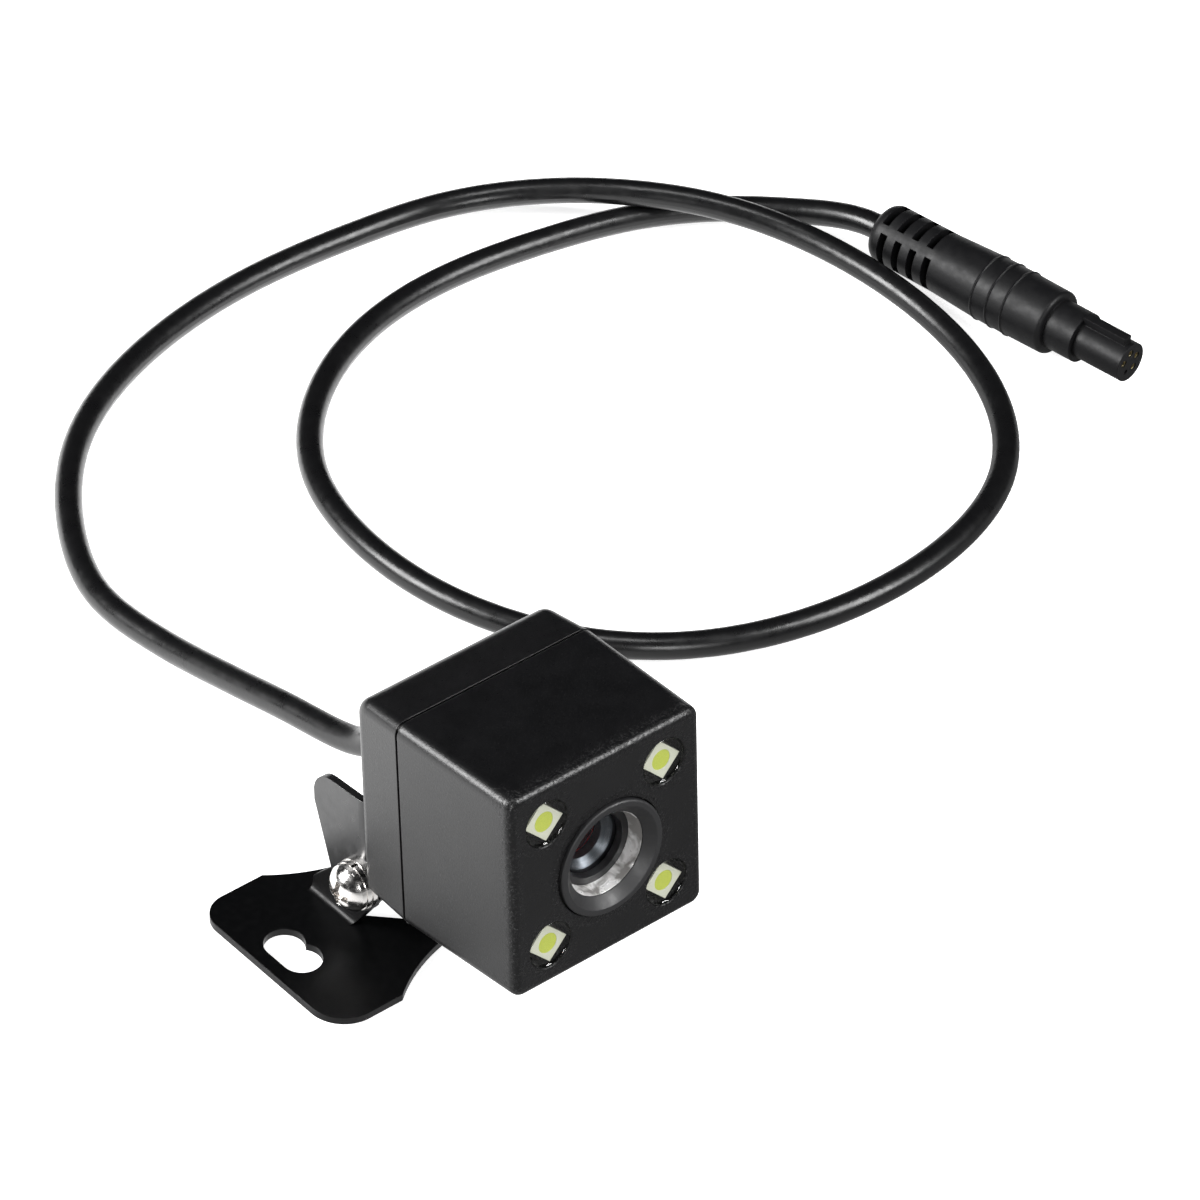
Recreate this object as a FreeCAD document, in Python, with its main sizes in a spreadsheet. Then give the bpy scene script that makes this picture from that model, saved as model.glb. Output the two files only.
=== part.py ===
import FreeCAD, Part
import math
import os
import Sketcher
from FreeCAD import Placement, Rotation, Vector

# Backup camera: a 24 mm cube camera head on a folded steel foot, with its cable and plug.
# Row frame: origin at the centre of the foot plate's underside, +X to the right seen from
# the lens, +Y towards the cable, +Z up. Millimetres.
# Head pieces are drawn in the head's own frame: origin at the centre of the housing seam,
# x to the right, y up, z forwards along the lens axis. head_placement() puts them in place.

os.makedirs("parts", exist_ok=True)
doc = FreeCAD.newDocument("BackupCamera")
sheet = doc.addObject("Spreadsheet::Sheet", "dims")

SIZES = [
    # housing
    ("head_width", 24.1, "housing width at the seam"),
    ("head_height", 24.0, "housing height at the seam"),
    ("front_depth", 16.2, "seam to front face"),
    ("rear_depth", 6.8, "seam to rear face"),
    ("front_draft", 1.15, "mould draft of the front housing, degrees"),
    ("rear_draft", 3.1, "mould draft of the rear cover, degrees"),
    ("front_wall", 2.0, "front wall thickness"),
    ("rear_wall", 1.8, "rear wall thickness"),
    ("cavity_width", 20.6, "front housing cavity, square"),
    ("cover_cavity_width", 18.9, "rear cover cavity, square"),
    ("seal_thickness", 0.3, "gasket between housing and cover"),
    ("seal_width", 23.4, "gasket outer side"),
    ("side_fillet", 1.3, "long edges of the housing"),
    ("front_fillet", 0.9, "front edges of the housing"),
    ("rear_fillet", 1.0, "rear edges of the cover"),
    ("rear_top_fillet", 2.0, "rear top edge of the cover"),
    ("tongue_height", 1.0, "locating tongue above the seam"),
    ("tongue_wall", 0.8, "locating tongue thickness"),
    ("tongue_length", 15.0, "length of each tongue"),
    ("tongue_play", 0.05, "play between tongue and cavity"),
    # corner posts and screws
    ("post_offset", 9.35, "corner posts from the lens axis, both ways"),
    ("post_radius", 1.15, "corner post"),
    ("post_hole", 0.62, "screw hole in a corner post"),
    ("post_base", 3.0, "rear end of the posts that carry the sensor board"),
    ("cover_screw_radius", 0.6, "cover and board screw shank"),
    ("cover_screw_head", 1.05, "cover and board screw head radius"),
    ("cover_screw_clearance", 0.7, "hole through the cover"),
    ("cover_bore", 1.2, "sunk bore for the cover screw head"),
    ("cover_bore_depth", 2.5, "depth of that bore"),
    # light-emitting diodes
    ("led_offset", 7.2, "diode windows from the lens axis, both ways"),
    ("led_window", 2.5, "diode window radius"),
    ("led_length", 3.5, "diode package length"),
    ("led_width", 3.0, "diode package width"),
    ("led_height", 1.9, "diode package height"),
    ("led_face", 15.7, "emitting face, from the seam"),
    ("phosphor_radius", 1.1, "phosphor pool radius"),
    ("phosphor_depth", 0.6, "depth of the phosphor pool"),
    ("window_pane_radius", 2.48, "clear potting disc"),
    ("window_pane_thickness", 0.2, "clear potting disc"),
    ("led_board_width", 19.8, "diode board side"),
    ("board_thickness", 1.0, "both circuit boards"),
    ("board_notch", 1.3, "corner notch around a post"),
    ("lens_opening", 6.8, "hole for the lens in the diode board"),
    ("led_screw_offset", 8.6, "diode board screws from the lens axis"),
    ("led_boss_radius", 1.3, "diode board boss"),
    ("led_screw_radius", 0.5, "diode board screw shank"),
    ("led_screw_head", 0.9, "diode board screw head"),
    ("led_screw_reach", 1.3, "thread length into the front wall"),
    # lens
    ("lens_x", 0.3, "lens axis to the right of the housing's middle"),
    ("lens_y", -0.5, "lens axis above the housing's middle"),
    ("lens_bore", 6.33, "hole in the front wall for the lens head"),
    ("lens_head_radius", 6.22, "lens barrel head"),
    ("lens_front", 16.6, "front of the lens head, from the seam"),
    ("lens_cone_outer", 5.55, "outer radius of the conical hood"),
    ("lens_cone_inner", 4.53, "inner radius of the conical hood"),
    ("lens_cone_base", 15.65, "depth of the hood's inner edge"),
    ("lens_thread", 5.98, "M12 thread on the barrel"),
    ("lens_shoulder", 13.0, "rear of the lens head"),
    ("lens_rear", 5.4, "rear end of the barrel"),
    ("lens_seat", 12.6, "seat of the front element"),
    ("ring_inner", 4.22, "rear opening of the retaining ring"),
    ("ring_front", 15.55, "front edge of the retaining ring"),
    ("ring_base", 13.9, "rear face of the retaining ring and front of the stop"),
    ("stop_inner", 3.35, "opening of the black stop in front of the lens"),
    ("stop_base", 13.15, "rear face of the stop"),
    ("element_radius", 4.5, "front element"),
    ("spacer_inner", 3.2, "front opening of the spacer"),
    ("spacer_throat", 2.35, "throat of the spacer"),
    ("spacer_throat_depth", 12.1, "front end of the spacer's throat"),
    ("tube_radius", 3.3, "bore behind the front element"),
    ("rear_seat", 6.4, "seat of the rear element"),
    ("holder_radius", 7.2, "lens holder tube"),
    ("holder_top", 12.0, "front end of the lens holder"),
    ("holder_base", 15.0, "lens holder base side"),
    ("holder_base_top", 5.2, "front of the holder base"),
    ("holder_floor", 4.8, "bottom of the holder thread"),
    ("holder_thread", 6.0, "holder thread, with running play"),
    ("chip_room", 9.0, "square room around the sensor"),
    ("holder_screw_offset", 6.6, "holder screws from the lens axis"),
    # sensor board
    ("sensor_board_width", 20.3, "sensor board side"),
    ("sensor_width", 6.2, "image sensor side"),
    ("sensor_height", 0.9, "image sensor height"),
    # cable and its passage
    ("cable_radius", 1.45, "cable jacket"),
    ("passage_radius", 2.0, "hole in the rear wall"),
    ("grommet_flange", 2.45, "outer flange of the grommet"),
    ("grommet_tip", 1.95, "rear tip of the grommet"),
    ("grommet_reach", 3.0, "how far the grommet stands out"),
    ("clamp_radius", 2.4, "strain-relief ring on the cable"),
    ("core_radius", 0.32, "insulated cores"),
    # bracket and hinge
    ("sheet", 0.8, "steel sheet of bracket and foot"),
    ("hinge_drop", 12.65, "hinge axis below the lens axis"),
    ("hinge_back", 9.0, "hinge axis behind the seam"),
    ("hinge_y", -1.9, "hinge axis in the row frame"),
    ("hinge_height", 7.95, "hinge axis above the foot's underside"),
    ("head_tilt", 5.0, "nose-up angle of the head at rest, degrees"),
    ("flange_outer", 10.27, "outer face of the bracket flanges from the middle"),
    ("flange_top", 10.1, "flange top above the hinge"),
    ("flange_rear", 6.75, "flange rear corner behind the hinge"),
    ("flange_corner", 2.8, "flange corner radius"),
    ("flange_lobe", 3.55, "radius of the flange's lower end"),
    ("flange_lobe_y", 1.2, "centre of that radius behind the hinge"),
    ("flange_lobe_z", -0.2, "centre of that radius above the hinge"),
    ("flange_front", -1.75, "front edge of the flange behind the hinge"),
    ("back_plate_low", 3.0, "lower edge of the back plate above the hinge"),
    ("bend_radius", 2.0, "outer bend radius of the bracket"),
    ("bracket_screw_x", 5.5, "bracket screws from the middle"),
    ("bracket_screw_y", 6.0, "bracket screws below the lens axis"),
    ("bracket_screw_radius", 1.0, "M2 shank"),
    ("bracket_screw_head", 1.9, "M2 pan head radius"),
    ("bracket_screw_length", 3.4, "M2 length under the head"),
    ("hinge_screw_radius", 1.25, "M2.5 shank"),
    ("hinge_play", 0.08, "radial play of the shank in the flange"),
    ("thread_play", 0.02, "radial play of the shank in the tapped ear"),
    ("hinge_screw_head", 2.46, "M2.5 pan head radius"),
    ("hinge_head_height", 2.0, "M2.5 pan head height"),
    ("hinge_screw_length", 5.0, "M2.5 length under the head"),
    ("spring_washer_radius", 2.55, "spring washer outer radius"),
    ("spring_washer_height", 0.6, "spring washer"),
    ("flat_washer_radius", 2.65, "flat washer outer radius"),
    ("flat_washer_height", 0.5, "flat washer"),
    ("washer_bore", 1.35, "washer bore radius"),
    # foot
    ("foot_width", 40.6, "foot plate, left to right"),
    ("foot_depth", 21.9, "foot plate, front to back"),
    ("waist_radius", 20.0, "concave waist, front and back"),
    ("waist_depth", 4.15, "depth of each waist"),
    ("foot_front_corner", 4.0, "front corners"),
    ("foot_rear_corner", 3.0, "rear corners"),
    ("ear_gap", 0.07, "play between ear and flange"),
    ("ear_radius", 2.45, "round end of the ears"),
    ("ear_rear", 6.5, "rear edge of the ears"),
    ("ear_rear_height", 2.4, "height of that edge"),
    ("ear_front", 0.4, "front edge of the ears at the plate"),
    ("ear_bend", 0.8, "fillet between ear and plate"),
    ("ear_lean", 52.0, "lean of the ears, degrees"),
    ("collar_radius", 2.0, "drawn collar around the thread"),
    ("collar_length", 1.0, "drawn collar"),
    ("window_front", -4.7, "front edge of the opening between the ears"),
    ("window_front_half", 3.1, "half width of that edge"),
    ("window_side", 0.8, "where the opening's slanted sides reach the ears"),
    ("window_rear_half", 7.5, "half width between the opening's rear corners"),
    ("tongue_half", 0.35, "half width of the tongue's blunt tip"),
    ("tongue_tip", -0.65, "tip of the tongue that points forwards"),
    ("keyhole_x", 16.65, "mounting slots from the middle"),
    ("keyhole_radius", 2.08, "mounting slot end radius"),
    ("keyhole_rear", 1.8, "rear end centre of the slot"),
    ("keyhole_front", -0.9, "front end centre of the slot"),
    # plug
    ("plug_height", 3.87, "plug axis above the underside"),
    ("boot_length", 24.4, "moulded boot"),
    ("boot_rear_radius", 3.4, "boot at its rear end"),
    ("boot_ring_radius", 3.85, "boot at its widest rings"),
    ("boot_front_radius", 3.68, "boot at its front end"),
    ("ring_first", 15.2, "first shallow ring"),
    ("ring_pitch", 2.05, "pitch of rings and slots"),
    ("slot_first", 1.35, "first strain-relief slot"),
    ("slot_width", 0.9, "strain-relief slot"),
    ("slot_core", 1.95, "core left between opposite slots"),
    ("slot_span", 4.0, "slot length across the boot"),
    ("neck_radius", 2.85, "neck between boot and barrel"),
    ("neck_length", 3.6, "neck between boot and barrel"),
    ("barrel_radius", 2.25, "plug barrel"),
    ("barrel_length", 6.2, "plug barrel"),
    ("insert_core", 2.0, "part of the insert inside the boot"),
    ("rib_width", 1.1, "polarising rib"),
    ("rib_height", 0.8, "polarising rib above the barrel"),
    ("rib_setback", 0.6, "rib ends behind the plug's face"),
    ("contact_circle", 1.15, "contact pitch radius"),
    ("contact_radius", 0.42, "contact tube"),
    ("contact_bore", 0.28, "contact tube bore"),
    ("contact_length", 5.4, "contact tube"),
]


class Size:
    """A length held in the sheet, or a sum of such lengths, with the expression that binds it."""

    def __init__(self, text, number):
        self.text = text
        self.number = number

    def __add__(self, other):
        other = size(other)
        return Size(f"({self.text} + {other.text})", self.number + other.number)

    def __sub__(self, other):
        other = size(other)
        return Size(f"({self.text} - {other.text})", self.number - other.number)

    def __mul__(self, factor):
        return Size(f"({self.text} * {factor})", self.number * factor)

    def __neg__(self):
        return self * -1


class Dims:
    """The sheet's cells by name."""

    def __init__(self, table):
        for row, (alias, value, note) in enumerate(table, start=1):
            sheet.set(f"A{row}", alias)
            sheet.set(f"B{row}", str(value))
            sheet.set(f"C{row}", note)
            sheet.setAlias(f"B{row}", alias)
            setattr(self, alias, Size(f"dims.{alias}", value))


def size(value):
    return value if isinstance(value, Size) else Size(str(value), float(value))


d = Dims(SIZES)
doc.recompute()
pieces = []

FRONT = d.front_depth
SEAL = d.seal_thickness * 0.5
INNER_FRONT = d.front_depth - d.front_wall
LED_BOARD_FRONT = d.led_face - d.led_height
REAR_INSIDE = d.rear_wall - d.rear_depth
HINGE_Y = -d.hinge_drop
HINGE_Z = -d.hinge_back
CORNERS = [(1, 1), (-1, 1), (-1, -1), (1, -1)]
COVER_POSTS = [(1, 1), (-1, -1)]
BOARD_POSTS = [(-1, 1), (1, -1)]


def head_placement():
    """The head's frame in the row frame: tilted about the hinge axis."""
    turn = Rotation(Vector(1, 0, 0), 90 - d.head_tilt.number)
    hinge = Vector(0, d.hinge_y.number, d.hinge_height.number)
    return Placement(hinge + turn.multVec(Vector(0, -HINGE_Y.number, -HINGE_Z.number)), turn)


def lens_placement():
    """The lens axis, which stands a little off the housing's middle, in the row frame."""
    return head_placement() * Placement(Vector(d.lens_x.number, d.lens_y.number, 0), Rotation())


# ---------------------------------------------------------------- drawing helpers


def new_body(name, several=False):
    body = doc.addObject("PartDesign::Body", name)
    body.Label = name
    if several:
        body.AllowCompound = True
    pieces.append(body)
    return body


def new_sketch(body, name, role="XY_Plane", offset=0):
    plane = next(f for f in body.Origin.OriginFeatures if f.Role == role)
    sketch = body.newObject("Sketcher::SketchObject", name)
    sketch.AttachmentSupport = (plane, [""])
    sketch.MapMode = "FlatFace"
    offset = size(offset)
    sketch.AttachmentOffset = Placement(Vector(0, 0, offset.number), Rotation())
    sketch.setExpression("AttachmentOffset.Base.z", offset.text)
    return sketch


def constrain(sketch, kind, *args, value):
    value = size(value)
    index = sketch.addConstraint(Sketcher.Constraint(kind, *args, value.number))
    sketch.setExpression(f"Constraints[{index}]", value.text)


def hold(sketch, geometry, point, kind, value):
    """Holds one coordinate of a point of the sketch, measured from the sketch's origin."""
    value = size(value)
    if abs(value.number) < 1e-9:
        axis = -2 if kind == "DistanceX" else -1
        sketch.addConstraint(Sketcher.Constraint("PointOnObject", geometry, point, axis))
    else:
        constrain(sketch, kind, -1, 1, geometry, point, value=value)


def pin_point(sketch, geometry, point, x, y):
    hold(sketch, geometry, point, "DistanceX", x)
    hold(sketch, geometry, point, "DistanceY", y)


def circle(sketch, radius, x=0, y=0):
    radius, x, y = size(radius), size(x), size(y)
    shape = Part.Circle(Vector(x.number, y.number, 0), Vector(0, 0, 1), radius.number)
    index = sketch.addGeometry(shape, False)
    pin_point(sketch, index, 3, x, y)
    constrain(sketch, "Radius", index, value=radius)


def polygon(sketch, points):
    """A closed outline. Each corner is (x, y), or (x, y, mid_x, mid_y) when it is reached by an arc."""
    corners = [tuple(size(v) for v in point) for point in points]
    ends = [Vector(c[0].number, c[1].number, 0) for c in corners]
    links = []
    for i, corner in enumerate(corners):
        start, end = ends[i - 1], ends[i]
        if len(corner) == 2:
            index = sketch.addGeometry(Part.LineSegment(start, end), False)
            links.append((index, 1, 2))
        else:
            middle = Vector(corner[2].number, corner[3].number, 0)
            leftwards = (middle - start).cross(end - middle).z > 0
            arc = Part.Arc(start, middle, end) if leftwards else Part.Arc(end, middle, start)
            index = sketch.addGeometry(arc, False)
            links.append((index, 1, 2) if leftwards else (index, 2, 1))
            arc = sketch.Geometry[index]
            upright = abs(end.x - start.x) > abs(end.y - start.y) and abs(arc.Center.x) > 1e-6
            centre = arc.Center.y if upright else arc.Center.x
            hold(sketch, index, 3, "DistanceY" if upright else "DistanceX", centre)
    for i, (index, first, last) in enumerate(links):
        following = links[(i + 1) % len(links)]
        sketch.addConstraint(Sketcher.Constraint("Coincident", index, last, following[0], following[1]))
        pin_point(sketch, index, last, corners[i][0], corners[i][1])


def rectangle(sketch, width, height, x=0, y=0):
    half_w, half_h, x, y = size(width) * 0.5, size(height) * 0.5, size(x), size(y)
    polygon(sketch, [
        (x + half_w, y - half_h),
        (x + half_w, y + half_h),
        (x - half_w, y + half_h),
        (x - half_w, y - half_h),
    ])


def feature(body, kind, name, sketch, length=None, back=False, both=False, through=False):
    made = body.newObject(f"PartDesign::{kind}", name)
    made.Profile = sketch
    made.Reversed = back
    made.Midplane = both
    if through:
        made.Type = "ThroughAll"
    else:
        length = size(length)
        made.Length = length.number
        made.setExpression("Length", length.text)
    sketch.Visibility = False
    doc.recompute()
    if "Invalid" in sketch.State or "Invalid" in made.State:
        raise RuntimeError(f"{body.Label}: {name} is {made.State}, its sketch is {sketch.State}")
    return made


def pad(body, name, sketch, length, back=False, both=False):
    return feature(body, "Pad", name, sketch, length, back, both)


def pocket(body, name, sketch, length=None, back=False, both=False, through=False):
    before = body.Shape.Volume
    made = feature(body, "Pocket", name, sketch, length, back, both, through)
    if body.Shape.Volume > before - 1e-6:
        raise RuntimeError(f"{body.Label}: {name} removes nothing")
    return made


def turned(body, name, points):
    """A solid of revolution about the body's z axis, from corners given as (radius, z)."""
    sketch = new_sketch(body, f"{name}_profile", "XZ_Plane")
    polygon(sketch, points)
    made = body.newObject("PartDesign::Revolution", name)
    made.Profile = sketch
    made.ReferenceAxis = (sketch, ["V_Axis"])
    made.Angle = 360
    sketch.Visibility = False
    doc.recompute()
    return made


def dome(radius, base, apex):
    """The corner on the turning axis that a spherical cap reaches from (radius, base)."""
    rise = size(apex).number - size(base).number
    ball = (size(radius).number ** 2 + rise ** 2) / (2 * rise)
    half = math.asin(size(radius).number / abs(ball)) / 2
    return 0, apex, abs(ball) * math.sin(half), size(apex).number - ball * (1 - math.cos(half))


def edges_where(shape, test):
    """Names of the edges whose middle point and direction pass the test."""
    names = []
    for i, edge in enumerate(shape.Edges, start=1):
        middle = edge.valueAt((edge.FirstParameter + edge.LastParameter) / 2)
        box = edge.BoundBox
        if test(middle, Vector(box.XLength, box.YLength, box.ZLength)):
            names.append(f"Edge{i}")
    return names


def dress(body, kind, name, amount, test):
    """A fillet or chamfer on the edges that pass the test."""
    amount = size(amount)
    base = body.Tip
    names = edges_where(base.Shape, test)
    if not names:
        raise RuntimeError(f"{body.Label}: {name} finds no edge")
    made = body.newObject(f"PartDesign::{kind}", name)
    made.Base = (base, names)
    prop = "Radius" if kind == "Fillet" else "Size"
    setattr(made, prop, amount.number)
    made.setExpression(prop, amount.text)
    doc.recompute()
    if not made.isValid():
        raise RuntimeError(f"{body.Label}: {name} fails on {len(names)} edges")
    return made


def mirror(body, name, originals):
    """Repeats features on the other side of the body's YZ plane."""
    made = body.newObject("PartDesign::Mirrored", name)
    made.Originals = originals
    made.MirrorPlane = (next(f for f in body.Origin.OriginFeatures if f.Role == "YZ_Plane"), [""])
    body.Tip = made
    doc.recompute()


def near(a, b, tolerance=0.02):
    return abs(a - b) < tolerance


def place(body, placement):
    body.Placement = placement


def corner_circles(sketch, radius, offset, corners=CORNERS):
    for sx, sy in corners:
        circle(sketch, radius, offset * sx, offset * sy)


def diode_outline(sketch, sx, sy):
    """The rotated rectangle of one diode package."""
    cx, cy = d.led_offset * sx, d.led_offset * sy
    along = d.led_width * round(0.5 / math.sqrt(2), 6)
    across = d.led_length * round(0.5 / math.sqrt(2), 6)
    polygon(sketch, [
        (cx + along - across, cy + along + across),
        (cx - along - across, cy - along + across),
        (cx - along + across, cy - along - across),
        (cx + along + across, cy + along - across),
    ])


# ---------------------------------------------------------------- head: housing


def front_housing():
    body = new_body("front_housing")
    outline = new_sketch(body, "outline", offset=SEAL)
    rectangle(outline, d.head_width, d.head_height)
    shell = pad(body, "shell", outline, FRONT - SEAL)
    shell.TaperAngle = -d.front_draft.number
    shell.setExpression("TaperAngle", f"-{d.front_draft.text}")
    doc.recompute()
    long_edges = lambda at, span: span.z > 10
    dress(body, "Fillet", "long_edges", d.side_fillet, long_edges)
    front_edges = lambda at, span: near(at.z, FRONT.number) and span.z < 0.01
    dress(body, "Fillet", "front_edges", d.front_fillet, front_edges)
    hollow = new_sketch(body, "hollow", offset=SEAL)
    rectangle(hollow, d.cavity_width, d.cavity_width)
    pocket(body, "cavity", hollow, INNER_FRONT - SEAL, back=True)
    post_sets = (
        ("board_posts", BOARD_POSTS, d.post_base, d.led_screw_radius),
        ("cover_posts", COVER_POSTS, SEAL, d.post_hole),
    )
    for name, corners, base, hole in post_sets:
        posts = new_sketch(body, name, offset=base)
        corner_circles(posts, d.post_radius, d.post_offset, corners)
        pad(body, f"{name}_pad", posts, INNER_FRONT - base)
        holes = new_sketch(body, f"{name}_holes", offset=base)
        corner_circles(holes, hole, d.post_offset, corners)
        pocket(body, f"{name}_drill", holes, 6, back=True)
    bosses = new_sketch(body, "led_bosses", offset=LED_BOARD_FRONT)
    for side in (1, -1):
        circle(bosses, d.led_boss_radius, d.led_screw_offset * side)
    pad(body, "led_boss_pads", bosses, INNER_FRONT - LED_BOARD_FRONT)
    boss_holes = new_sketch(body, "led_boss_holes", offset=LED_BOARD_FRONT)
    for side in (1, -1):
        circle(boss_holes, d.led_screw_radius, d.led_screw_offset * side)
    pocket(body, "led_boss_drill", boss_holes, d.led_screw_reach, back=True)
    openings = new_sketch(body, "openings", offset=FRONT)
    circle(openings, d.lens_bore, d.lens_x, d.lens_y)
    corner_circles(openings, d.led_window, d.led_offset)
    pocket(body, "front_openings", openings, d.front_wall)
    rim = lambda at, span, low, high: near(at.z, FRONT.number) and low < span.x < high
    dress(body, "Fillet", "window_rims", 0.2, lambda at, span: rim(at, span, 4, 6))
    dress(body, "Fillet", "lens_rim", 0.08, lambda at, span: rim(at, span, 12, 14))
    place(body, head_placement())


def housing_seal():
    body = new_body("housing_seal")
    ring = new_sketch(body, "ring", offset=-SEAL)
    rectangle(ring, d.seal_width, d.seal_width)
    rectangle(ring, d.cavity_width + 0.4, d.cavity_width + 0.4)
    pad(body, "gasket", ring, d.seal_thickness)
    place(body, head_placement())


def rear_cover():
    body = new_body("rear_cover")
    outline = new_sketch(body, "outline", offset=-SEAL)
    rectangle(outline, d.head_width, d.head_height)
    shell = pad(body, "shell", outline, d.rear_depth - SEAL, back=True)
    shell.TaperAngle = -d.rear_draft.number
    shell.setExpression("TaperAngle", f"-{d.rear_draft.text}")
    doc.recompute()
    rear = -d.rear_depth.number
    rear_top = lambda at, span: near(at.z, rear) and at.y > 10 and span.x > 15
    dress(body, "Fillet", "rear_top_edge", d.rear_top_fillet, rear_top)
    dress(body, "Fillet", "long_edges", d.side_fillet, lambda at, span: span.z > 4.5)
    rear_rest = lambda at, span: near(at.z, rear) and at.y < -10 and span.x > 15
    dress(body, "Fillet", "rear_low_edge", d.rear_fillet, rear_rest)
    hollow = new_sketch(body, "hollow", offset=-SEAL)
    rectangle(hollow, d.cover_cavity_width, d.cover_cavity_width)
    pocket(body, "cavity", hollow, d.rear_depth - d.rear_wall - SEAL)
    posts = new_sketch(body, "cover_posts", offset=REAR_INSIDE)
    corner_circles(posts, d.post_radius, d.post_offset, COVER_POSTS)
    pad(body, "cover_post_pads", posts, -REAR_INSIDE - SEAL)
    bosses = new_sketch(body, "bracket_bosses", offset=REAR_INSIDE)
    for side in (1, -1):
        circle(bosses, 2.0, d.bracket_screw_x * side, -d.bracket_screw_y)
    pad(body, "bracket_boss_pads", bosses, 2.2)
    tongues = new_sketch(body, "tongues", offset=-SEAL)
    reach = (d.cavity_width - d.tongue_wall) * 0.5 - d.tongue_play
    for side in (1, -1):
        rectangle(tongues, d.tongue_wall, d.tongue_length, reach * side, 0)
        rectangle(tongues, d.tongue_length, d.tongue_wall, 0, reach * side)
    pad(body, "tongue_pads", tongues, d.tongue_height + SEAL)
    screws = new_sketch(body, "cover_holes", offset=-d.rear_depth)
    corner_circles(screws, d.cover_screw_clearance, d.post_offset, COVER_POSTS)
    pocket(body, "cover_drill", screws, back=True, through=True)
    sinks = new_sketch(body, "cover_sinks", offset=-d.rear_depth)
    corner_circles(sinks, d.cover_bore, d.post_offset, COVER_POSTS)
    pocket(body, "cover_sink_bores", sinks, d.cover_bore_depth, back=True)
    passage = new_sketch(body, "passage", offset=-d.rear_depth)
    circle(passage, d.passage_radius)
    pocket(body, "cable_passage", passage, d.rear_wall, back=True)
    mounts = new_sketch(body, "bracket_holes", offset=-d.rear_depth)
    for side in (1, -1):
        circle(mounts, d.bracket_screw_radius, d.bracket_screw_x * side, -d.bracket_screw_y)
    pocket(body, "bracket_drill", mounts, d.bracket_screw_length, back=True)
    place(body, head_placement())


def small_screws(name, positions, shank, head, top, head_height, length):
    """A set of identical small screws along the lens axis, heads towards the rear."""
    body = new_body(name, several=True)
    heads = new_sketch(body, "heads", offset=top)
    for x, y in positions:
        circle(heads, head, x, y)
    pad(body, "head_pads", heads, head_height, back=True)
    shanks = new_sketch(body, "shanks", offset=top)
    for x, y in positions:
        circle(shanks, shank, x, y)
    pad(body, "shank_pads", shanks, length)
    slots = new_sketch(body, "drives", offset=size(top) - head_height)
    for x, y in positions:
        rectangle(slots, size(head) * 1.2, size(head) * 0.3, x, y)
    pocket(body, "drive_slots", slots, size(head_height) * 0.5, back=True)
    crosses = new_sketch(body, "cross_drives", offset=size(top) - head_height)
    for x, y in positions:
        rectangle(crosses, size(head) * 0.3, size(head) * 1.2, x, y)
    pocket(body, "cross_slots", crosses, size(head_height) * 0.5, back=True)
    place(body, head_placement())


def posts_at(corners):
    return [(d.post_offset * sx, d.post_offset * sy) for sx, sy in corners]


def holder_spots():
    """The two screws that hold the lens holder, in the head's frame."""
    offset = d.holder_screw_offset
    return [(d.lens_x + offset, d.lens_y - offset), (d.lens_x - offset, d.lens_y + offset)]


def fasteners():
    small_screws("cover_screws", posts_at(COVER_POSTS), d.cover_screw_radius, d.cover_screw_head,
                 d.cover_bore_depth - d.rear_depth, 0.8, 8.0)
    small_screws("board_screws", posts_at(BOARD_POSTS), d.led_screw_radius - 0.02, d.led_screw_head,
                 d.post_base - d.board_thickness, 0.6, 5.0)
    sides = [(d.led_screw_offset, 0), (-d.led_screw_offset, 0)]
    small_screws("led_board_screws", sides, d.led_screw_radius - 0.02, d.led_screw_head,
                 LED_BOARD_FRONT - d.board_thickness, 0.6, d.board_thickness + 1.2)
    small_screws("holder_screws", holder_spots(), d.led_screw_radius - 0.02, d.led_screw_head,
                 d.post_base - d.board_thickness, 0.6, d.board_thickness + 1.5)
    mounts = [(d.bracket_screw_x, -d.bracket_screw_y), (-d.bracket_screw_x, -d.bracket_screw_y)]
    small_screws("bracket_screws", mounts, d.bracket_screw_radius - 0.01, d.bracket_screw_head,
                 -d.rear_depth - d.sheet, 1.3, d.bracket_screw_length)


# ---------------------------------------------------------------- head: lamps


def led_parts():
    board = new_body("led_board")
    outline = new_sketch(board, "outline", offset=LED_BOARD_FRONT)
    rectangle(outline, d.led_board_width, d.led_board_width)
    pad(board, "laminate", outline, d.board_thickness, back=True)
    cuts = new_sketch(board, "cuts", offset=LED_BOARD_FRONT)
    circle(cuts, d.lens_opening, d.lens_x, d.lens_y)
    for side in (1, -1):
        circle(cuts, d.led_screw_radius + 0.05, d.led_screw_offset * side)
    pocket(board, "lens_opening", cuts, through=True)
    notches = new_sketch(board, "notches", offset=LED_BOARD_FRONT)
    corner_circles(notches, d.board_notch, d.post_offset)
    pocket(board, "corner_notches", notches, through=True)
    place(board, head_placement())

    packages = new_body("led_packages", several=True)
    bases = new_sketch(packages, "bases", offset=LED_BOARD_FRONT)
    for sx, sy in CORNERS:
        diode_outline(bases, sx, sy)
    pad(packages, "cases", bases, d.led_height)
    pools = new_sketch(packages, "pools", offset=d.led_face)
    corner_circles(pools, d.phosphor_radius, d.led_offset)
    pocket(packages, "pool_recesses", pools, d.phosphor_depth)
    place(packages, head_placement())

    phosphors = new_body("led_phosphors", several=True)
    fills = new_sketch(phosphors, "fills", offset=d.led_face - d.phosphor_depth)
    corner_circles(fills, d.phosphor_radius, d.led_offset)
    pad(phosphors, "phosphor", fills, d.phosphor_depth - 0.03)
    place(phosphors, head_placement())

    panes = new_body("led_windows", several=True)
    discs = new_sketch(panes, "discs", offset=d.led_face + 0.06)
    corner_circles(discs, d.window_pane_radius, d.led_offset)
    pad(panes, "clear_discs", discs, d.window_pane_thickness)
    place(panes, head_placement())


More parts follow.
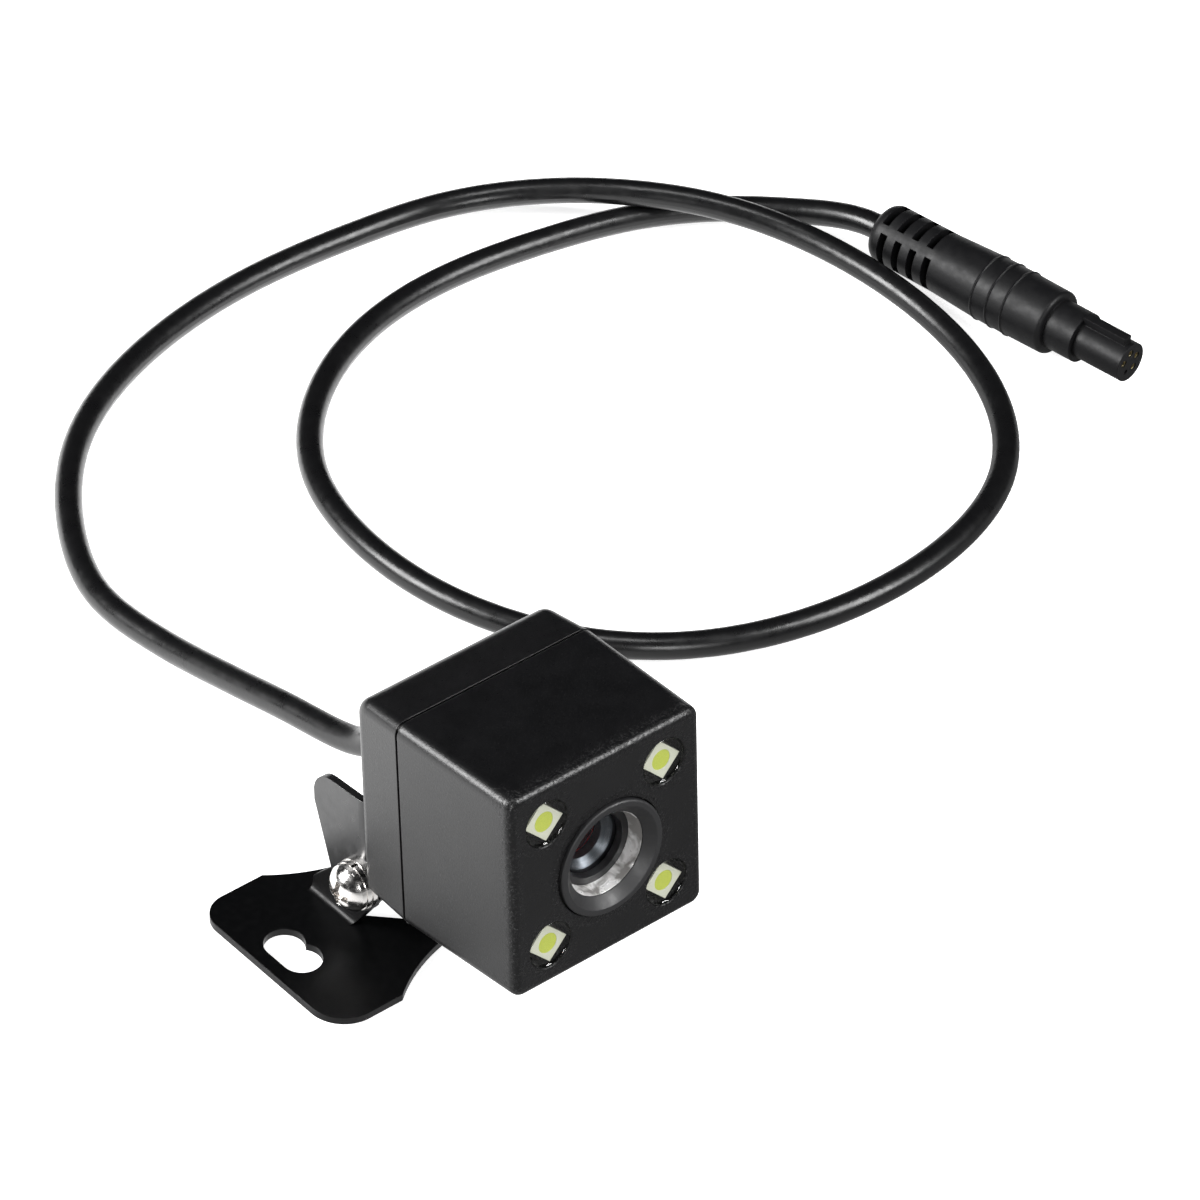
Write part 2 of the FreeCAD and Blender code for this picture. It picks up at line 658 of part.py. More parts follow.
# ---------------------------------------------------------------- head: lens and sensor


def lens_parts():
    barrel = new_body("lens_barrel")
    turned(barrel, "barrel", [
        (d.lens_thread, d.lens_rear),
        (d.lens_thread, d.lens_shoulder),
        (d.lens_head_radius, d.lens_shoulder),
        (d.lens_head_radius, d.lens_front),
        (d.lens_cone_outer, d.lens_front),
        (d.lens_cone_inner, d.lens_cone_base),
        (d.lens_cone_inner, d.lens_seat),
        (d.tube_radius, d.lens_seat),
        (d.tube_radius, d.rear_seat),
        (size(2.4), d.rear_seat),
        (size(2.4), d.lens_rear),
    ])
    rim = lambda at, span: near(at.z, d.lens_front.number) and span.x > 2 * d.lens_head_radius.number - 0.1
    dress(barrel, "Fillet", "front_rim", 0.2, rim)
    place(barrel, lens_placement())

    ring = new_body("lens_retaining_ring")
    turned(ring, "ring", [
        (d.lens_cone_inner - 0.01, d.ring_base),
        (d.lens_cone_inner - 0.01, d.ring_front),
        (d.lens_cone_inner - 0.06, d.ring_front),
        (d.ring_inner, d.ring_base),
    ])
    place(ring, lens_placement())

    stop = new_body("lens_stop")
    turned(stop, "ring", [
        (d.lens_cone_inner - 0.01, d.stop_base),
        (d.lens_cone_inner - 0.01, d.ring_base - 0.01),
        (d.stop_inner + 0.15, d.ring_base - 0.01),
        (d.stop_inner, d.stop_base),
    ])
    place(stop, lens_placement())

    front = new_body("front_lens")
    turned(front, "element", [
        (0, d.lens_seat + 0.2),
        (d.element_radius, d.lens_seat + 0.2),
        (d.element_radius, d.stop_base - 0.02),
        (d.stop_inner - 0.05, d.stop_base - 0.02),
        dome(d.stop_inner - 0.05, d.stop_base - 0.02, d.stop_base + 0.75),
    ])
    place(front, lens_placement())

    spacer = new_body("lens_spacer")
    turned(spacer, "spacer", [
        (d.spacer_throat, d.lens_seat - 1.4),
        (d.tube_radius - 0.02, d.lens_seat - 1.4),
        (d.tube_radius - 0.02, d.lens_seat + 0.15),
        (d.spacer_inner, d.lens_seat + 0.15),
        (d.spacer_throat, d.spacer_throat_depth),
    ])
    place(spacer, lens_placement())

    middle = new_body("middle_lens")
    turned(middle, "element", [
        (0, d.rear_seat + 3.0),
        (d.tube_radius - 0.02, d.rear_seat + 3.0),
        (d.tube_radius - 0.02, d.lens_seat - 1.45),
        (d.spacer_throat - 0.05, d.lens_seat - 1.45),
        dome(d.spacer_throat - 0.05, d.lens_seat - 1.45, d.lens_seat - 0.85),
    ])
    place(middle, lens_placement())

    rear = new_body("rear_lens")
    turned(rear, "element", [
        (0, d.rear_seat + 0.05),
        (d.tube_radius - 0.02, d.rear_seat + 0.05),
        (d.tube_radius - 0.02, d.rear_seat + 1.6),
        dome(d.tube_radius - 0.02, d.rear_seat + 1.6, d.rear_seat + 2.5),
    ])
    place(rear, lens_placement())

    holder = new_body("lens_holder")
    base = new_sketch(holder, "base", offset=d.post_base)
    rectangle(base, d.holder_base, d.holder_base)
    pad(holder, "base_block", base, d.holder_base_top - d.post_base)
    tube = new_sketch(holder, "tube", offset=d.post_base)
    circle(tube, d.holder_radius)
    pad(holder, "tube_pad", tube, d.holder_top - d.post_base)
    thread = new_sketch(holder, "thread", offset=d.holder_top)
    circle(thread, d.holder_thread)
    pocket(holder, "thread_bore", thread, d.holder_top - d.holder_floor)
    room = new_sketch(holder, "room", offset=d.post_base)
    rectangle(room, d.chip_room, d.chip_room)
    pocket(holder, "sensor_room", room, d.holder_floor - d.post_base, back=True)
    holes = new_sketch(holder, "holes", offset=d.post_base)
    circle(holes, d.led_screw_radius, d.holder_screw_offset, -d.holder_screw_offset)
    circle(holes, d.led_screw_radius, -d.holder_screw_offset, d.holder_screw_offset)
    pocket(holder, "screw_holes", holes, 1.7, back=True)
    place(holder, lens_placement())

    glass = new_body("infrared_filter")
    plate = new_sketch(glass, "plate", offset=d.holder_floor - 0.55)
    rectangle(plate, d.chip_room - 0.1, d.chip_room - 0.1)
    pad(glass, "filter_glass", plate, 0.5)
    place(glass, lens_placement())


def sensor_parts():
    board = new_body("sensor_board")
    outline = new_sketch(board, "outline", offset=d.post_base)
    rectangle(outline, d.sensor_board_width, d.sensor_board_width)
    pad(board, "laminate", outline, d.board_thickness, back=True)
    notches = new_sketch(board, "notches", offset=d.post_base)
    corner_circles(notches, d.board_notch, d.post_offset, COVER_POSTS)
    corner_circles(notches, d.led_screw_radius + 0.05, d.post_offset, BOARD_POSTS)
    pocket(board, "corner_notches", notches, through=True)
    holes = new_sketch(board, "holes", offset=d.post_base)
    for x, y in holder_spots():
        circle(holes, d.led_screw_radius + 0.05, x, y)
    pocket(board, "holder_holes", holes, through=True)
    place(board, head_placement())

    sensor = new_body("image_sensor")
    chip = new_sketch(sensor, "chip", offset=d.post_base)
    rectangle(chip, d.sensor_width, d.sensor_width)
    pad(sensor, "package", chip, d.sensor_height)
    place(sensor, lens_placement())

    chips = new_body("board_chips", several=True)
    layout = new_sketch(chips, "layout", offset=d.post_base - d.board_thickness)
    rectangle(layout, 5.0, 5.0, 0, -2.2)
    rectangle(layout, 1.6, 2.9, 5.6, -1.0)
    rectangle(layout, 1.0, 0.5, -4.8, -0.6)
    rectangle(layout, 1.0, 0.5, -4.8, -2.2)
    rectangle(layout, 1.0, 0.5, -4.8, -3.8)
    rectangle(layout, 3.2, 2.5, 0, 8.2)
    pad(chips, "packages", layout, 0.9, back=True)
    place(chips, head_placement())

    header = new_body("wire_header")
    block = new_sketch(header, "block", offset=d.post_base - d.board_thickness)
    rectangle(block, 7.0, 3.2, 0, 4.6)
    pad(header, "block_pad", block, 2.6, back=True)
    sockets = new_sketch(header, "sockets", offset=d.post_base - d.board_thickness - 2.6)
    for place_x in (-1.875, -0.625, 0.625, 1.875):
        circle(sockets, d.core_radius + 0.02, place_x, 4.6)
    pocket(header, "wire_sockets", sockets, 1.2, back=True)
    place(header, head_placement())

    jumper = new_body("led_wires", several=True)
    ends = new_sketch(jumper, "ends", offset=d.post_base)
    for side in (1, -1):
        circle(ends, d.core_radius, size(1.2) * side, 9.2)
    pad(jumper, "wires", ends, LED_BOARD_FRONT - d.board_thickness - d.post_base)
    place(jumper, head_placement())


# ---------------------------------------------------------------- head: cable exit


def cable_exit():
    grommet = new_body("cable_grommet")
    turned(grommet, "sleeve", [
        (d.cable_radius + 0.01, REAR_INSIDE + 0.8),
        (size(3.0), REAR_INSIDE + 0.8),
        (size(3.0), REAR_INSIDE + 0.01),
        (d.passage_radius - 0.01, REAR_INSIDE + 0.01),
        (d.passage_radius - 0.01, -d.rear_depth - 0.01),
        (d.grommet_flange, -d.rear_depth - 0.01),
        (d.grommet_flange, -d.rear_depth - 0.7),
        (d.grommet_tip, -d.rear_depth - d.grommet_reach),
        (d.cable_radius + 0.01, -d.rear_depth - d.grommet_reach),
    ])
    place(grommet, head_placement())

    clamp = new_body("cable_clamp")
    turned(clamp, "ring", [
        (d.cable_radius + 0.01, REAR_INSIDE + 1.9),
        (d.clamp_radius, REAR_INSIDE + 1.9),
        (d.clamp_radius, REAR_INSIDE + 0.9),
        (d.cable_radius + 0.01, REAR_INSIDE + 0.9),
    ])
    place(clamp, head_placement())

    tail = new_body("cable_tail")
    section = new_sketch(tail, "section", offset=REAR_INSIDE + 2.4)
    circle(section, d.cable_radius)
    pad(tail, "jacket", section, REAR_INSIDE + 2.4 + d.rear_depth + d.grommet_reach + 2.2, back=True)
    place(tail, head_placement())

    starts = [(-0.6, -0.6), (-0.6, 0.6), (0.6, 0.6), (0.6, -0.6)]
    ends = [-1.875, -0.625, 0.625, 1.875]
    base = (REAR_INSIDE + 2.4).number + 0.02
    top = (d.post_base - d.board_thickness - 2.6).number - 0.02
    wires = []
    for (x, y), end in zip(starts, ends):
        middle = Vector((x + end) / 2, (y + 4.6) / 2, (base + top) / 2)
        stops = [Vector(x, y, base), middle, Vector(end, 4.6, top)]
        path = smooth_path(stops, Vector(0, 0, 1), Vector(0, 0, 1))
        wires.append(swept(path, d.core_radius.number))
    solid_piece("cable_cores", Part.makeCompound(wires), head_placement())


def smooth_path(points, first_direction, last_direction):
    """A smooth curve through points, with a unit direction given at each end."""
    curve = Part.BSplineCurve()
    curve.interpolate(Points=points, InitialTangent=first_direction.normalize(),
                      FinalTangent=last_direction.normalize(), Scale=False)
    return curve.toShape()


def swept(path, radius, *further):
    """A round solid along a curve, and along any further edges that follow it."""
    start = path.valueAt(path.FirstParameter)
    along = path.tangentAt(path.FirstParameter)
    ring = Part.Wire(Part.makeCircle(radius, start, along))
    return Part.Wire([path, *further]).makePipeShell([ring], True, False)


def solid_piece(name, shape, placement):
    """A piece whose shape is made in code from the sheet's sizes."""
    made = doc.addObject("Part::Feature", name)
    made.Label = name
    made.Shape = shape
    made.Placement = placement
    pieces.append(made)
    return made


# ---------------------------------------------------------------- bracket and hinge


def hinge_point(behind, above):
    """Side-view point given from the hinge axis, in the head's frame: (y, z) for a YZ sketch."""
    return HINGE_Y + above, HINGE_Z - behind


def head_bracket():
    body = new_body("head_bracket")
    wide, round_out = d.flange_outer, d.bend_radius
    round_in = d.bend_radius - d.sheet
    face = -d.rear_depth
    bend = face - round_out
    channel = new_sketch(body, "channel", "XZ_Plane", offset=d.hinge_drop - d.back_plate_low)
    polygon(channel, [
        (wide, bend),
        (wide - round_out, face, wide - round_out * 0.292893, face - round_out * 0.292893),
        (round_out - wide, face),
        (-wide, bend, round_out * 0.292893 - wide, face - round_out * 0.292893),
        (d.sheet - wide, bend),
        (round_out - wide, face - d.sheet,
         round_out - wide - round_in * 0.707107, bend + round_in * 0.707107),
        (wide - round_out, face - d.sheet),
        (wide - d.sheet, bend, wide - round_out + round_in * 0.707107, bend + round_in * 0.707107),
    ])
    pad(body, "bent_back_plate", channel, d.flange_top - d.back_plate_low, back=True)

    flange = new_sketch(body, "flange_outline", "YZ_Plane", offset=wide - d.sheet)
    lobe_y, lobe_z, lobe_r = d.flange_lobe_y.number, d.flange_lobe_z.number, d.flange_lobe.number
    tangent = math.radians(-8)
    rear_end = (lobe_y + lobe_r * math.cos(tangent), lobe_z + lobe_r * math.sin(tangent))
    front_y = d.flange_front.number
    front_end = (front_y, lobe_z - math.sqrt(lobe_r ** 2 - (front_y - lobe_y) ** 2))
    lowest = (lobe_y, lobe_z - lobe_r)
    polygon(flange, [
        (HINGE_Y + d.flange_top, bend),
        hinge_point(d.flange_rear, d.flange_top),
        hinge_point(d.flange_rear, 6.2),
        hinge_point(*rear_end),
        hinge_point(*front_end) + hinge_point(*lowest),
        hinge_point(front_y, d.back_plate_low),
        (HINGE_Y + d.back_plate_low, bend),
    ])
    flange_pad = pad(body, "flange", flange, d.sheet)
    bore = new_sketch(body, "hinge_bore", "YZ_Plane", offset=wide - d.sheet - 0.1)
    circle(bore, d.hinge_screw_radius + d.hinge_play, *hinge_point(0, 0))
    bore_cut = pocket(body, "hinge_hole", bore, d.sheet + 0.2, back=True)
    mirror(body, "other_flange", [flange_pad, bore_cut])
    corner = (HINGE_Y + d.flange_top).number, (HINGE_Z - d.flange_rear).number
    dress(body, "Fillet", "flange_corners", d.flange_corner,
          lambda at, span: near(at.y, corner[0]) and near(at.z, corner[1]) and span.x > 0.7)
    holes = new_sketch(body, "screw_holes", offset=-d.rear_depth)
    for side in (1, -1):
        circle(holes, d.bracket_screw_radius + 0.1, d.bracket_screw_x * side, -d.bracket_screw_y)
    pocket(body, "bracket_screw_holes", holes, d.sheet)
    place(body, head_placement())


def hinge_screw(side, sign):
    """One M2.5 clamping screw with its washers, drawn along z with the head outwards."""
    seat = d.flange_outer + d.flat_washer_height + d.spring_washer_height
    turn = Rotation(Vector(0, 1, 0), 90 * sign)
    where = Placement(Vector(0, d.hinge_y.number, d.hinge_height.number), turn)

    screw = new_body(f"{side}_hinge_screw")
    radius = d.hinge_screw_head
    turned(screw, "screw", [
        (0, seat - d.hinge_screw_length),
        (d.hinge_screw_radius - 0.25, seat - d.hinge_screw_length),
        (d.hinge_screw_radius, seat - d.hinge_screw_length + 0.3),
        (d.hinge_screw_radius, seat),
        (radius, seat),
        (radius, seat + 0.55),
        dome(radius, seat + 0.55, seat + d.hinge_head_height),
    ])
    above = seat + d.hinge_head_height + 0.2
    cross = new_sketch(screw, "cross", offset=above)
    rectangle(cross, 2.7, 0.62)
    pocket(screw, "drive_slot", cross, 1.45)
    other = new_sketch(screw, "other_cross", offset=above)
    rectangle(other, 0.62, 2.7)
    pocket(screw, "other_drive_slot", other, 1.45)
    centre = new_sketch(screw, "centre", offset=above)
    circle(centre, 0.62)
    pocket(screw, "drive_centre", centre, 1.7)
    place(screw, where)

    spring = new_body(f"{side}_spring_washer")
    ring = new_sketch(spring, "ring", offset=d.flange_outer + d.flat_washer_height)
    circle(ring, d.spring_washer_radius)
    circle(ring, d.washer_bore)
    pad(spring, "ring_pad", ring, d.spring_washer_height)
    gap = new_sketch(spring, "gap", offset=d.flange_outer + d.flat_washer_height)
    rectangle(gap, 2.4, 0.35, 2.0, 0)
    pocket(spring, "split", gap, d.spring_washer_height, back=True)
    place(spring, where)

    flat = new_body(f"{side}_flat_washer")
    disc = new_sketch(flat, "disc", offset=d.flange_outer)
    circle(disc, d.flat_washer_radius)
    circle(disc, d.washer_bore)
    pad(flat, "disc_pad", disc, d.flat_washer_height)
    place(flat, where)


# ---------------------------------------------------------------- foot


def foot_bracket():
    body = new_body("foot_bracket")
    outline = new_sketch(body, "outline")
    rectangle(outline, d.foot_width, d.foot_depth)
    pad(body, "plate", outline, d.sheet)
    half_w = d.foot_width.number / 2
    half_d = d.foot_depth.number / 2
    upright = lambda at, span: near(span.z, d.sheet.number) and near(abs(at.x), half_w)
    corner_sets = (
        ("front_corners", d.foot_front_corner, -half_d),
        ("rear_corners", d.foot_rear_corner, half_d),
    )
    for name, radius, edge in corner_sets:
        dress(body, "Fillet", name, radius, lambda at, span: upright(at, span) and near(at.y, edge))
    waists = new_sketch(body, "waists", offset=d.sheet)
    for side in (1, -1):
        circle(waists, d.waist_radius, 0, (d.waist_radius - d.waist_depth + d.foot_depth * 0.5) * side)
    pocket(body, "waist_cuts", waists, through=True)
    ears_inner = d.flange_outer - d.sheet * 2 - d.ear_gap
    window = new_sketch(body, "window", offset=d.sheet)
    right_half = [
        (d.window_front_half, d.window_front),
        (ears_inner, d.window_side),
        (ears_inner, d.ear_rear),
        (d.window_rear_half, d.ear_rear),
        (d.tongue_half, d.tongue_tip),
    ]
    left_half = [(-x, y) for x, y in reversed(right_half)]
    polygon(window, right_half + left_half)
    pocket(body, "ear_window", window, through=True)
    ear = new_sketch(body, "ear_outline", "YZ_Plane", offset=ears_inner)
    axis_y, axis_z, radius = d.hinge_y.number, d.hinge_height.number, d.ear_radius.number
    lean = math.radians(d.ear_lean.number)
    nx, nz = math.sin(lean), math.cos(lean)
    low = (axis_y - radius * nx, axis_z - radius * nz)
    high = (axis_y + radius * nx, axis_z + radius * nz)
    top = (axis_y - radius * nz, axis_z + radius * nx)
    polygon(ear, [
        (d.ear_front, 0), low, high + top, (d.ear_rear, d.ear_rear_height), (d.ear_rear, 0),
    ])
    ear_pad = pad(body, "ear", ear, d.sheet)
    collar = new_sketch(body, "collar", "YZ_Plane", offset=ears_inner)
    circle(collar, d.collar_radius, d.hinge_y, d.hinge_height)
    collar_pad = pad(body, "thread_collar", collar, d.collar_length, back=True)
    bore = new_sketch(body, "thread", "YZ_Plane", offset=ears_inner - d.collar_length - 0.1)
    circle(bore, d.hinge_screw_radius + d.thread_play, d.hinge_y, d.hinge_height)
    bore_cut = pocket(body, "tapped_hole", bore, d.sheet + d.collar_length + 0.2, back=True)
    mirror(body, "other_ear", [ear_pad, collar_pad, bore_cut])
    outer_face = (ears_inner + d.sheet).number
    root = lambda at, span: span.y > 4 and near(abs(at.x), outer_face) and near(at.z, d.sheet.number)
    dress(body, "Fillet", "ear_roots", d.ear_bend, root)
    ear_y, ear_z = d.ear_rear.number, d.ear_rear_height.number
    corner = lambda at, span: near(at.y, ear_y) and near(at.z, ear_z) and span.x > 0.5
    dress(body, "Fillet", "ear_corners", 1.2, corner)
    slots = new_sketch(body, "slots", offset=d.sheet)
    radius = d.keyhole_radius
    waist_y = (d.keyhole_rear + d.keyhole_front) * 0.5
    half_pitch = (d.keyhole_rear.number - d.keyhole_front.number) / 2
    waist_in = math.sqrt(radius.number ** 2 - half_pitch ** 2)
    for side in (1, -1):
        x = d.keyhole_x * side
        outer = x + radius * side
        inner = x - radius * (0.5 * side)
        polygon(slots, [
            (outer, d.keyhole_rear),
            (x - waist_in * side, waist_y, inner, d.keyhole_rear + radius * 0.866025),
            (outer, d.keyhole_front, inner, d.keyhole_front - radius * 0.866025),
        ])
    pocket(body, "mounting_slots", slots, through=True)
    place(body, Placement())


# ---------------------------------------------------------------- cable and plug


def plug_placement():
    along = Vector(0.15, -0.989, 0).normalize()
    up = Vector(0, 0, 1)
    return Placement(Vector(104.5, 49.5, d.plug_height.number), Rotation(up.cross(along), up, along, "ZYX"))


def cable_run():
    head = head_placement()
    radius = d.cable_radius.number
    start = head.multVec(Vector(0, 0, -(d.rear_depth + d.grommet_reach).number - 2.22))
    back = head.Rotation.multVec(Vector(0, 0, -1))
    drop = [
        (5.7, 18.8), (7.8, 15.5), (9.5, 12.7), (12.3, 11),
        (16.5, 9.7), (22.1, 8.4), (28.5, 6.7), (33.4, 5.4),
    ]
    knots = [start] + [Vector(0, y, z) for y, z in drop]
    handover = Vector(0, 37.5, 4.35)
    slope = Vector(0, 1, -0.25)
    bend = smooth_path(knots + [handover], back, Vector(slope))
    solid_piece("cable_bend", swept(bend, radius), Placement())

    # The rest of the cable lies on the ground: one wide loop, then a second one inside it
    # that the first crosses over before it ends in the plug.
    floor = radius + 0.02
    lay = [
        (0, 45.5, 2.75), (0.6, 54, 1.75), (4.6, 64, floor), (15, 76.5, floor), (30, 84.2, floor),
        (47, 87.1, floor), (61, 86.5, floor), (70.5, 84.6, 1.8), (79, 79.2, 3.1), (86.6, 70.8, 4.5),
        (92.8, 63.5, 4.1), (97.2, 55, 3.3), (99.8, 43, 2.4), (99.4, 32, 1.7), (95.8, 21.5, floor),
        (88, 12.2, floor),
        (76, 6.8, floor), (64.5, 5.6, floor), (54.5, 6.8, floor), (44.5, 10.6, floor), (36.5, 17, floor),
        (30.8, 26, floor), (27.8, 37, floor), (27.8, 46, floor), (31, 57, floor), (38.5, 66, floor),
        (51, 72.7, floor), (63, 74.4, floor), (76, 73, floor), (86.2, 70.4, floor), (94.4, 66, 1.6),
        (100.4, 59.2, 2.6),
    ]
    plug = plug_placement()
    at_boot = plug.multVec(Vector(0, 0, -0.6))
    points = [handover + slope * 0.02] + [Vector(*p) for p in lay] + [at_boot]
    loop = smooth_path(points, Vector(slope), plug.Rotation.multVec(Vector(0, 0, 1)))
    into_boot = Part.makeLine(at_boot, plug.multVec(Vector(0, 0, 6)))
    solid_piece("cable_loop", swept(loop, radius, into_boot), Placement())


def plug_parts():
    boot = new_body("plug_boot")
    end = d.boot_length
    turned(boot, "boot", [
        (d.cable_radius + 0.03, 0),
        (d.boot_rear_radius - 1.3, 0),
        (d.boot_rear_radius, 1.3, d.boot_rear_radius - 0.38, 0.38),
        (d.boot_rear_radius + 0.05, 9.0),
        (d.boot_ring_radius - 0.1, d.ring_first - 0.2),
        (d.boot_ring_radius, d.ring_first),
        (d.boot_ring_radius - 0.12, d.ring_first + 0.1),
        (d.boot_ring_radius - 0.08, d.ring_first + d.ring_pitch - 0.2),
        (d.boot_ring_radius + 0.02, d.ring_first + d.ring_pitch),
        (d.boot_ring_radius - 0.12, d.ring_first + d.ring_pitch + 0.1),
        (d.boot_ring_radius - 0.08, d.ring_first + d.ring_pitch * 2 - 0.2),
        (d.boot_ring_radius + 0.02, d.ring_first + d.ring_pitch * 2),
        (d.boot_ring_radius - 0.12, d.ring_first + d.ring_pitch * 2 + 0.1),
        (d.boot_front_radius, end - 0.5),
        (d.boot_front_radius - 0.5, end, d.boot_front_radius - 0.146, end - 0.146),
        (d.neck_radius, end),
        (d.neck_radius, end + d.neck_length),
        (d.insert_core + 0.01, end + d.neck_length),
        (d.insert_core + 0.01, end - 4.0),
        (d.cable_radius + 0.03, end - 4.0),
    ])
    slot_sets = (
        ("upright", "YZ_Plane", d.slot_first),
        ("level", "XZ_Plane", d.slot_first + 0.45),
    )
    for name, role, first in slot_sets:
        cuts = []
        last = first + d.slot_width
        for end_name, side in (("near", 1), ("far", -1)):
            sketch = new_sketch(boot, f"{name}_slot_{end_name}", role)
            low, high = d.slot_core * side, size(4.6) * side
            polygon(sketch, [(low, first), (high, first), (high, last), (low, last)])
            cuts.append(pocket(boot, f"{name}_cut_{end_name}", sketch, d.slot_span, both=True))
        row = boot.newObject("PartDesign::LinearPattern", f"{name}_slots")
        row.Originals = cuts
        axis = next(f for f in boot.Origin.OriginFeatures if f.Role == "Z_Axis")
        row.Direction = (axis, [""])
        row.Length = d.ring_pitch.number * 3
        row.setExpression("Length", (d.ring_pitch * 3).text)
        row.Occurrences = 4
        boot.Tip = row
        doc.recompute()
    place(boot, plug_placement())

    insert = new_body("plug_insert")
    face = end + d.neck_length + d.barrel_length
    core = new_sketch(insert, "core", offset=end - 3.9)
    circle(core, d.insert_core)
    pad(insert, "core_pad", core, d.neck_length + 4.0)
    barrel = new_sketch(insert, "barrel", offset=end + d.neck_length + 0.02)
    circle(barrel, d.barrel_radius)
    pad(insert, "barrel_pad", barrel, d.barrel_length - 0.02)
    rib = new_sketch(insert, "rib", offset=end + d.neck_length + 0.02)
    rectangle(rib, d.rib_width, d.rib_height * 2, 0, d.barrel_radius)
    pad(insert, "rib_pad", rib, d.barrel_length - d.rib_setback)
    sockets = new_sketch(insert, "sockets", offset=face)
    for angle in (90, 18, 162, 306):
        circle(sockets, d.contact_radius, *on_circle(d.contact_circle, angle))
    pocket(insert, "contact_holes", sockets, d.contact_length + 0.2)
    dimple = new_sketch(insert, "dimple", offset=face)
    circle(dimple, 0.3, *on_circle(d.contact_circle, 234))
    pocket(insert, "blind_dimple", dimple, 0.25)
    place(insert, plug_placement())

    contacts = new_body("plug_contacts", several=True)
    tubes = new_sketch(contacts, "tubes", offset=face - 0.15)
    for angle in (90, 18, 162, 306):
        circle(tubes, d.contact_radius - 0.01, *on_circle(d.contact_circle, angle))
    pad(contacts, "tube_pads", tubes, d.contact_length, back=True)
    bores = new_sketch(contacts, "bores", offset=face - 0.15)
    for angle in (90, 18, 162, 306):
        circle(bores, d.contact_bore, *on_circle(d.contact_circle, angle))
    pocket(contacts, "tube_bores", bores, d.contact_length - 0.6)
    place(contacts, plug_placement())


def on_circle(radius, degrees):
    angle = math.radians(degrees)
    return radius * round(math.cos(angle), 6), radius * round(math.sin(angle), 6)


front_housing()
housing_seal()
rear_cover()
fasteners()
led_parts()
lens_parts()
sensor_parts()
cable_exit()
head_bracket()
for side_name, side_sign in (("left", -1), ("right", 1)):
    hinge_screw(side_name, side_sign)
foot_bracket()
cable_run()
plug_parts()

doc.recompute()
faults = []
for item in doc.Objects:
    if "Invalid" in item.State or "Error" in item.State:
        faults.append(f"{item.Name} ({item.Label}): {item.State}")
for piece in pieces:
    if piece.Shape.isNull() or not piece.Shape.isValid() or not piece.Shape.Solids:
        faults.append(f"{piece.Label}: not a valid solid")
if faults:
    raise RuntimeError("; ".join(faults))
for piece in pieces:
    piece.Shape.exportStep(os.path.join("parts", f"{piece.Label}.step"))
    print(f"{piece.Label}: {len(piece.Shape.Solids)} solid(s), {piece.Shape.Volume:.2f} mm3")
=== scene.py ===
import math

import bpy
from mathutils import Matrix, Vector


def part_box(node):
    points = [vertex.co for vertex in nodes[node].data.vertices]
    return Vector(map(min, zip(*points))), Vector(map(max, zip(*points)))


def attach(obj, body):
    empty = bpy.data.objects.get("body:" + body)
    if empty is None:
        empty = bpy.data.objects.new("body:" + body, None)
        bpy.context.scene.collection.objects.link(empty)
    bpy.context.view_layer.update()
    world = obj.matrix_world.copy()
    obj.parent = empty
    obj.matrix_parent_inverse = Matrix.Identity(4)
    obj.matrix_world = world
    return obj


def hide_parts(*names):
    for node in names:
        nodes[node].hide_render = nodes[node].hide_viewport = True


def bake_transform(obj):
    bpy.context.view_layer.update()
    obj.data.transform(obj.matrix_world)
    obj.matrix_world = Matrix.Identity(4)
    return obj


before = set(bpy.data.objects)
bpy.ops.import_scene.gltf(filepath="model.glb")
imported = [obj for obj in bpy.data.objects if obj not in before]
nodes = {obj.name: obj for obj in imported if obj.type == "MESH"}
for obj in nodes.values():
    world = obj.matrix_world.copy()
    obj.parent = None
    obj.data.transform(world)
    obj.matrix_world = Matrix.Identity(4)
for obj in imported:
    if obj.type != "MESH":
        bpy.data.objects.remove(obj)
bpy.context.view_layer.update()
MM = 0.001

# ---------------------------------------------------------------- material helpers


